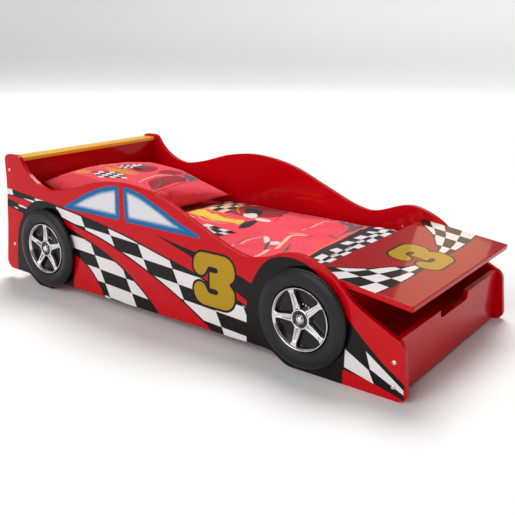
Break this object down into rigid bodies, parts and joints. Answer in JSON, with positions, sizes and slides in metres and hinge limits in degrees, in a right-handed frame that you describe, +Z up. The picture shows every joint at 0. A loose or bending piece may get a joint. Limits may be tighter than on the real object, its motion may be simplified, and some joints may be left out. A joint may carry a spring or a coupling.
{
  "type": "toddler bed",
  "caption": "Toddler bed shaped like a racing car: shaped side panels with wheel covers, head shelf, slatted base, bedding, and an open toy box under a sloping hood.",
  "frame": {"origin": "centre of the footprint, on the floor", "axes": "+X from the head end to the foot (hood) end, +Y towards the left side of the car, +Z up"},
  "size_m": [1.772, 0.829, 0.505],
  "materials": {
    "red_lacquer": "fibreboard under gloss red lacquer",
    "yellow_lacquer": "fibreboard under gloss yellow-orange lacquer",
    "pine": "planed solid pine, unfinished",
    "beech": "turned beech",
    "webbing": "woven tape",
    "mattress_cloth": "fitted cotton sheet over foam",
    "pillow_cloth": "printed cotton, filled",
    "quilt_cloth": "printed cotton quilt cover, filled",
    "black_plastic": "moulded black plastic, satin",
    "chromed_plastic": "bright plated plastic",
    "hub_plastic": "moulded black plastic, gloss",
    "nickel": "nickel plated steel",
    "zinc": "zinc plated steel",
    "print_white": "white lacquer print",
    "print_black": "black lacquer print",
    "print_gold": "ochre-gold lacquer print",
    "print_window": "airbrushed blue to white lacquer print"
  },
  "bodies": {
    "root": {"side_panel_right": "red_lacquer", "side_panel_left": "red_lacquer", "headboard": "red_lacquer", "back_board": "red_lacquer", "headboard_shelf": "yellow_lacquer", "foot_wall": "red_lacquer", "toy_box_floor": "red_lacquer", "toy_box_front": "red_lacquer", "hood": "red_lacquer", "hood_block_rear_right": "red_lacquer", "hood_block_rear_left": "red_lacquer", "hood_block_front_right": "red_lacquer", "hood_block_front_left": "red_lacquer", "slat_rail_right": "pine", "slat_rail_left": "pine", "slat_01": "pine", "slat_02": "pine", "slat_03": "pine", "slat_04": "pine", "slat_05": "pine", "slat_06": "pine", "slat_07": "pine", "slat_08": "pine", "slat_09": "pine", "slat_10": "pine", "slat_11": "pine", "slat_12": "pine", "slat_tape_right": "webbing", "slat_tape_left": "webbing", "mattress": "mattress_cloth", "pillow": "pillow_cloth", "quilt": "quilt_cloth", "tyre_front_right": "black_plastic", "tyre_front_left": "black_plastic", "tyre_rear_right": "black_plastic", "tyre_rear_left": "black_plastic", "rim_front_right": "chromed_plastic", "rim_front_left": "chromed_plastic", "rim_rear_right": "chromed_plastic", "rim_rear_left": "chromed_plastic", "hub_front_right": "hub_plastic", "hub_front_left": "hub_plastic", "hub_rear_right": "hub_plastic", "hub_rear_left": "hub_plastic", "hub_domes": "chromed_plastic", "panel_bolts": "nickel", "barrel_nuts": "zinc", "dowels": "beech", "rail_screws": "zinc", "slat_screws": "zinc", "hood_screws": "zinc", "wheel_screws": "zinc"}
  },
  "joints": []
}
